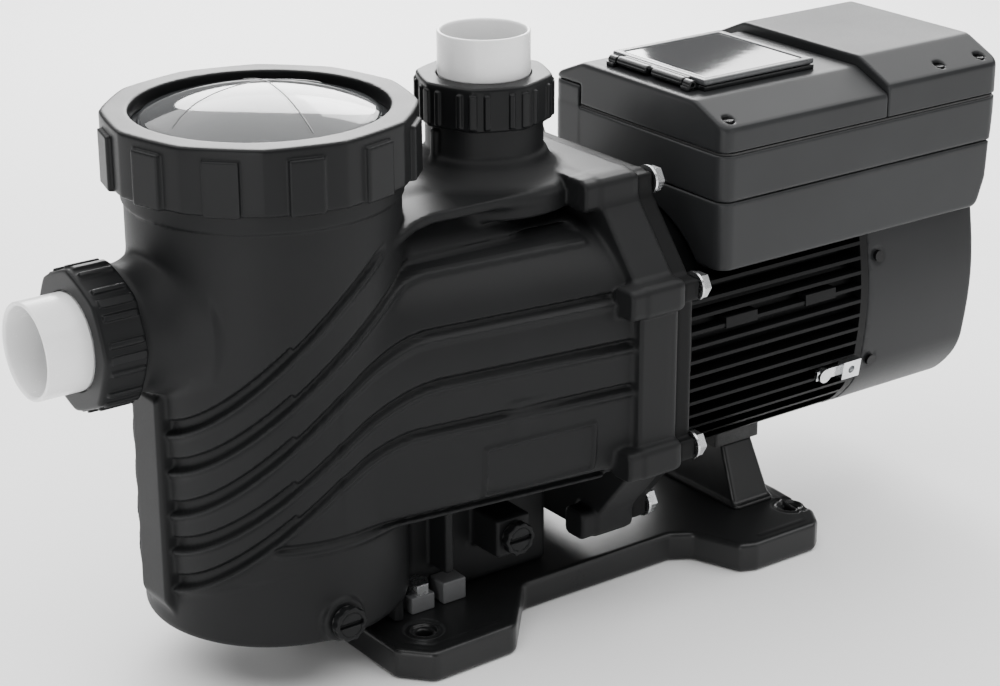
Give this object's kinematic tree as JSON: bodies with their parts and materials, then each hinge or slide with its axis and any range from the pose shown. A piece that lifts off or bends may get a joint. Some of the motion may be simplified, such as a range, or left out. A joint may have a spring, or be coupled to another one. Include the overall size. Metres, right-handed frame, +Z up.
{
  "type": "pool pump",
  "caption": "Self-priming swimming pool pump with strainer pot, union ports, finned motor and an inverter controller on a bolt-down base.",
  "frame": {"origin": "on the floor, at the centre of the rectangle of four mounting holes in the base", "axes": "+X along the shaft from the suction port to the motor, +Z up along the discharge port"},
  "size_m": [0.745, 0.257, 0.3997],
  "materials": {
    "body_plastic": "fine moulded texture",
    "ring_plastic": "satin",
    "base_plastic": "satin",
    "clamp_grey": "matt",
    "lid_clear": "clear moulded, polished",
    "pvc_white": "gloss",
    "basket_plastic": "satin",
    "rubber_black": "matt",
    "hydraulic_plastic": "glass filled, satin",
    "brass": "turned",
    "seal_face": "lapped",
    "bright_steel": "bright",
    "motor_paint": "cast, painted satin black",
    "core_steel": "laminated",
    "copper": "enamelled copper wire",
    "cowl_paint": "satin",
    "fan_plastic": "satin",
    "screw_black": "black oxide",
    "box_paint": "satin dark grey",
    "bare_aluminium": "extruded",
    "board_green": "solder mask",
    "capacitor_sleeve": "sleeve",
    "bezel_plastic": "satin",
    "flap_gloss": "polished dark pane with bright rim",
    "screen_glass": "display glass",
    "button_plastic": "satin"
  },
  "bodies": {
    "root": {"pump_body": "body_plastic", "diffuser": "hydraulic_plastic", "wear_ring": "brass", "seal_plate": "hydraulic_plastic", "body_oring": "rubber_black", "seal_seat": "seal_face", "motor_bracket": "body_plastic", "flange_bolts": "bright_steel", "motor_frame": "motor_paint", "stator_core": "core_steel", "stator_windings": "copper", "shaft_bearings": "bright_steel", "rear_end_shield": "motor_paint", "fan_cowl": "cowl_paint", "cowl_screws": "screw_black", "ground_lug": "bright_steel", "controller_base": "box_paint", "cable_glands": "ring_plastic", "controller_housing": "box_paint", "cover_gasket": "rubber_black", "front_cover": "box_paint", "rear_cover": "box_paint", "cover_screws": "screw_black", "heat_sink": "bare_aluminium", "control_board": "board_green", "capacitors": "capacitor_sleeve", "display_bezel": "bezel_plastic", "display_screen": "screen_glass", "base_plate": "base_plastic", "motor_pedestal": "base_plastic", "motor_pad": "rubber_black", "foot_clamps": "clamp_grey", "foot_bolts": "bright_steel"},
    "basket": {"strainer_basket": "basket_plastic"},
    "handle": {"basket_handle": "basket_plastic"},
    "lid": {"strainer_lid": "lid_clear", "lid_oring": "rubber_black"},
    "lock_ring": {"lid_lock_ring": "ring_plastic"},
    "suction_tail": {"suction_tailpiece": "pvc_white", "suction_oring": "rubber_black"},
    "suction_nut": {"suction_union_nut": "ring_plastic"},
    "discharge_tail": {"discharge_tailpiece": "pvc_white", "discharge_oring": "rubber_black"},
    "discharge_nut": {"discharge_union_nut": "ring_plastic"},
    "pot_plug_seal": {"strainer_drain_oring": "rubber_black"},
    "pot_plug": {"strainer_drain_plug": "ring_plastic"},
    "volute_plug_seal": {"volute_drain_oring": "rubber_black"},
    "volute_plug": {"volute_drain_plug": "ring_plastic"},
    "rotor": {"motor_shaft": "bright_steel", "rotor_core": "core_steel", "impeller": "hydraulic_plastic", "impeller_nut": "brass", "seal_head": "bright_steel", "cooling_fan": "fan_plastic"},
    "flap": {"display_flap": "flap_gloss"},
    "key_up": {"button_up": "button_plastic"},
    "key_down": {"button_down": "button_plastic"},
    "key_left": {"button_left": "button_plastic"},
    "key_right": {"button_right": "button_plastic"},
    "key_set": {"button_set": "button_plastic"}
  },
  "joints": [
    {"name": "lid_lift", "type": "slide", "parent": "root", "child": "lid", "axis": [0, 0, 1], "range_m": [0, 0.38]},
    {"name": "ring_turn", "type": "hinge", "parent": "lid", "child": "lock_ring", "pos_m": [-0.228, 0, 0.356], "axis": [0, 0, 1], "range_deg": [0, 90]},
    {"name": "basket_lift", "type": "slide", "parent": "root", "child": "basket", "axis": [0, 0, 1], "range_m": [0, 0.304]},
    {"name": "handle_swing", "type": "hinge", "parent": "basket", "child": "handle", "pos_m": [-0.228, 0, 0.327], "axis": [0, -1, 0], "range_deg": [0, 90]},
    {"name": "suction_pull", "type": "slide", "parent": "root", "child": "suction_tail", "axis": [-1, 0, 0], "range_m": [0, 0.05]},
    {"name": "suction_nut_turn", "type": "hinge", "parent": "suction_tail", "child": "suction_nut", "pos_m": [-0.354, 0, 0.2505], "axis": [1, 0, 0], "continuous": true},
    {"name": "discharge_pull", "type": "slide", "parent": "root", "child": "discharge_tail", "axis": [0, 0, 1], "range_m": [0, 0.05]},
    {"name": "discharge_nut_turn", "type": "hinge", "parent": "discharge_tail", "child": "discharge_nut", "pos_m": [-0.054, 0, 0.355], "axis": [0, 0, 1], "continuous": true},
    {"name": "pot_plug_pull", "type": "slide", "parent": "root", "child": "pot_plug_seal", "axis": [0, -1, 0], "range_m": [0, 0.03]},
    {"name": "pot_plug_turn", "type": "hinge", "parent": "pot_plug_seal", "child": "pot_plug", "pos_m": [-0.233, -0.095, 0.054], "axis": [0, -1, 0], "continuous": true},
    {"name": "volute_plug_pull", "type": "slide", "parent": "root", "child": "volute_plug_seal", "axis": [0, -1, 0], "range_m": [0, 0.03]},
    {"name": "volute_plug_turn", "type": "hinge", "parent": "volute_plug_seal", "child": "volute_plug", "pos_m": [-0.084, -0.078, 0.065], "axis": [0, -1, 0], "continuous": true},
    {"name": "shaft_spin", "type": "hinge", "parent": "root", "child": "rotor", "pos_m": [0.1, 0, 0.175], "axis": [1, 0, 0], "continuous": true},
    {"name": "flap_open", "type": "hinge", "parent": "root", "child": "flap", "pos_m": [0.0915, 0, 0.3468], "axis": [0, -1, 0], "range_deg": [0, 110]},
    {"name": "press_up", "type": "slide", "parent": "root", "child": "key_up", "axis": [0, 0, -1], "range_m": [0, 0.001], "stiffness_N_per_m": 300},
    {"name": "press_down", "type": "slide", "parent": "root", "child": "key_down", "axis": [0, 0, -1], "range_m": [0, 0.001], "stiffness_N_per_m": 300},
    {"name": "press_left", "type": "slide", "parent": "root", "child": "key_left", "axis": [0, 0, -1], "range_m": [0, 0.001], "stiffness_N_per_m": 300},
    {"name": "press_right", "type": "slide", "parent": "root", "child": "key_right", "axis": [0, 0, -1], "range_m": [0, 0.001], "stiffness_N_per_m": 300},
    {"name": "press_set", "type": "slide", "parent": "root", "child": "key_set", "axis": [0, 0, -1], "range_m": [0, 0.001], "stiffness_N_per_m": 300}
  ],
  "couplings": [
    {"joint": "basket_lift", "follows": "lid_lift", "ratio": 0.8}
  ]
}
